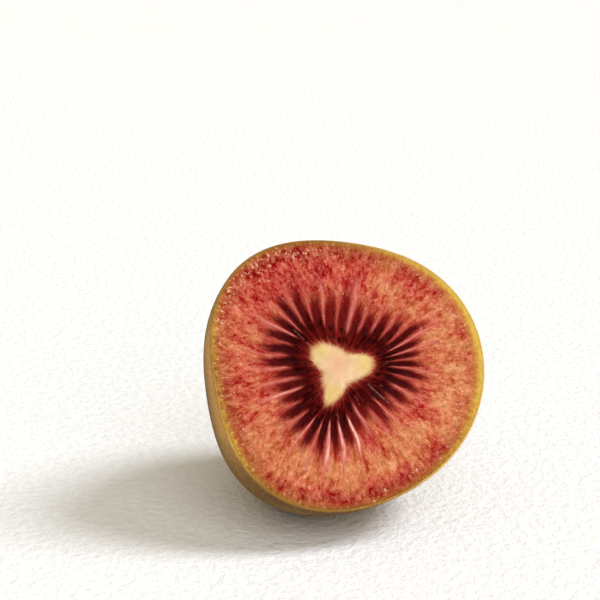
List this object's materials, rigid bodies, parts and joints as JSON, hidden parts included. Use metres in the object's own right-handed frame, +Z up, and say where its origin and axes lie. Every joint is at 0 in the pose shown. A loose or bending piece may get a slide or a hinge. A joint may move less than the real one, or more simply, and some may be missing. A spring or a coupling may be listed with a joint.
{
  "type": "kiwi fruit half",
  "caption": "Red fleshed kiwi fruit half with its skin on, cut across the middle, with a rayed dark centre and a pale three lobed core, lying on its side.",
  "frame": {"origin": "middle of the small flat spot of skin that the half lies on", "axes": "+Z up; the cut face looks towards -Y and leans back 32 degrees from upright, so its normal is (0, -0.848, 0.530); +X is to the right as one looks at the cut face"},
  "size_m": [0.0497, 0.0451, 0.048],
  "materials": {
    "flesh": "moist coral red fruit flesh, near black red between pale rays round the core",
    "core": "pale cream fibrous fruit core, moist",
    "skin": "thin olive brown fruit skin, matt, with a short fuzz and tiny pale specks"
  },
  "bodies": {
    "root": {"fruit": "flesh", "core": "core"}
  },
  "joints": []
}
